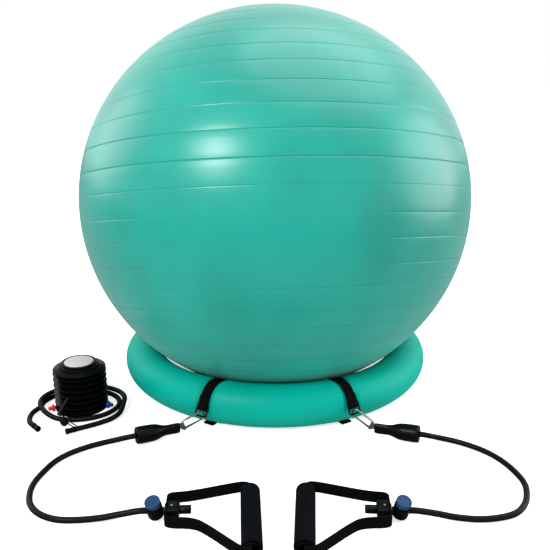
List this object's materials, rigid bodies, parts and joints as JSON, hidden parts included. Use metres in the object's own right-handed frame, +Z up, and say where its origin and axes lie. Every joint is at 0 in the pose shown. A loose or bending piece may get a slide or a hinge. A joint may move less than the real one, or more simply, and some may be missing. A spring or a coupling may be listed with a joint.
{
  "type": "balance ball chair",
  "caption": "Exercise ball seated in an inflated floor ring, with a resistance tube and hand grip clipped to the ring on each side, and a foot pump with a coiled hose beside it.",
  "frame": {"origin": "on the floor, at the middle of the flat patch on which the ball rests", "axes": "+Z up, -Y towards the two handles, +X to the right as seen from the handles; the pump stands on the -X side"},
  "size_m": [0.7152, 0.8653, 0.62],
  "materials": {
    "ball_vinyl": "satin",
    "ring_vinyl": "satin",
    "valve_rubber": "matte",
    "valve_plug": "matte",
    "webbing": "woven",
    "black_plastic": "gloss",
    "plated_metal": "bright",
    "steel": "satin",
    "blue_button": "satin",
    "tube_latex": "satin",
    "black_rubber": "matte",
    "foam": "matte",
    "pad_grey": "matte",
    "red_plastic": "gloss",
    "blue_plastic": "gloss"
  },
  "bodies": {
    "base": {"ring_shell": "ring_vinyl", "ring_valve_socket": "valve_rubber", "ring_strap_left": "webbing", "ring_strap_right": "webbing", "anchor_webbing_left": "webbing", "anchor_webbing_right": "webbing", "handle_strap_left": "webbing", "handle_strap_right": "webbing", "anchor_plug_left": "black_plastic", "anchor_plug_right": "black_plastic", "lock_body_left": "black_plastic", "lock_body_right": "black_plastic", "pump_base": "black_plastic", "pump_bellows": "black_plastic", "hose_coupling_a": "black_plastic", "hose_coupling_b": "black_plastic", "hook_body_left": "plated_metal", "hook_body_right": "plated_metal", "strap_eyelet_left": "plated_metal", "strap_eyelet_right": "plated_metal", "hook_pin_left": "steel", "hook_pin_right": "steel", "lock_spring_left": "steel", "lock_spring_right": "steel", "block_rivet_left": "steel", "block_rivet_right": "steel", "pump_spring": "steel", "tube_left": "tube_latex", "tube_right": "tube_latex", "strap_block_left": "black_rubber", "strap_block_right": "black_rubber", "tube_cap_left": "black_rubber", "tube_cap_right": "black_rubber", "pump_hose": "black_rubber", "nozzle_cone": "black_rubber", "nozzle_cap": "black_rubber", "tether_cone": "black_rubber", "tether_cap": "black_rubber", "port_red": "red_plastic", "port_blue": "blue_plastic"},
    "ball": {"ball_shell": "ball_vinyl", "ball_valve_socket": "valve_rubber"},
    "ball_stopper": {"ball_plug": "valve_plug"},
    "ring_stopper": {"ring_plug": "valve_plug"},
    "foot_plate": {"pump_top": "black_plastic", "pump_pad": "pad_grey"},
    "loop_left": {"d_ring_left": "black_plastic"},
    "gate_left": {"hook_gate_left": "plated_metal"},
    "release_left": {"lock_button_left": "blue_button"},
    "grip_left": {"grip_core_left": "black_plastic", "grip_foam_left": "foam"},
    "loop_right": {"d_ring_right": "black_plastic"},
    "gate_right": {"hook_gate_right": "plated_metal"},
    "release_right": {"lock_button_right": "blue_button"},
    "grip_right": {"grip_core_right": "black_plastic", "grip_foam_right": "foam"}
  },
  "joints": [
    {"name": "ball_lift", "type": "slide", "parent": "base", "child": "ball", "axis": [0, 0, 1], "range_m": [0, 0.12]},
    {"name": "ball_stopper_pull", "type": "slide", "parent": "ball", "child": "ball_stopper", "axis": [-0.0253, 0.2406, 0.9703], "range_m": [0, 0.014]},
    {"name": "ring_stopper_pull", "type": "slide", "parent": "base", "child": "ring_stopper", "axis": [0, 0.8829, 0.4695], "range_m": [0, 0.014]},
    {"name": "loop_left_swing", "type": "hinge", "parent": "base", "child": "loop_left", "pos_m": [-0.10885, -0.23968, 0.03433], "axis": [0.8615, -0.5077, 0], "range_deg": [-4, 1]},
    {"name": "gate_left_open", "type": "hinge", "parent": "base", "child": "gate_left", "pos_m": [-0.13521, -0.25336, 0.00804], "axis": [0.3256, -0.9455, 0], "range_deg": [0, 7], "stiffness_Nm_per_rad": 0.02, "springref_deg": -17.19},
    {"name": "release_left_press", "type": "slide", "parent": "base", "child": "release_left", "axis": [0.123, 0.3129, -0.9418], "range_m": [0, 0.0025], "stiffness_N_per_m": 800, "springref_m": -0.002, "deforming": ["lock_spring_left"]},
    {"name": "grip_left_spin", "type": "hinge", "parent": "base", "child": "grip_left", "pos_m": [-0.0285, -0.47667, 0.0125], "axis": [-0.0523, 0.9986, 0], "continuous": true},
    {"name": "loop_right_swing", "type": "hinge", "parent": "base", "child": "loop_right", "pos_m": [0.11765, -0.2355, 0.03616], "axis": [0.8427, 0.5385, 0], "range_deg": [-3, 1]},
    {"name": "gate_right_open", "type": "hinge", "parent": "base", "child": "gate_right", "pos_m": [0.14175, -0.25297, 0.00863], "axis": [0.4848, 0.8746, 0], "range_deg": [0, 7], "stiffness_Nm_per_rad": 0.02, "springref_deg": -17.19},
    {"name": "release_right_press", "type": "slide", "parent": "base", "child": "release_right", "axis": [-0.123, 0.3129, -0.9418], "range_m": [0, 0.0025], "stiffness_N_per_m": 800, "springref_m": -0.002, "deforming": ["lock_spring_right"]},
    {"name": "grip_right_spin", "type": "hinge", "parent": "base", "child": "grip_right", "pos_m": [0.036, -0.47617, 0.0125], "axis": [-0.0523, -0.9986, 0], "continuous": true},
    {"name": "pump_press", "type": "slide", "parent": "base", "child": "foot_plate", "axis": [0, 0, -1], "range_m": [0, 0.034], "stiffness_N_per_m": 600, "springref_m": -0.01, "deforming": ["pump_bellows", "pump_spring"]}
  ]
}
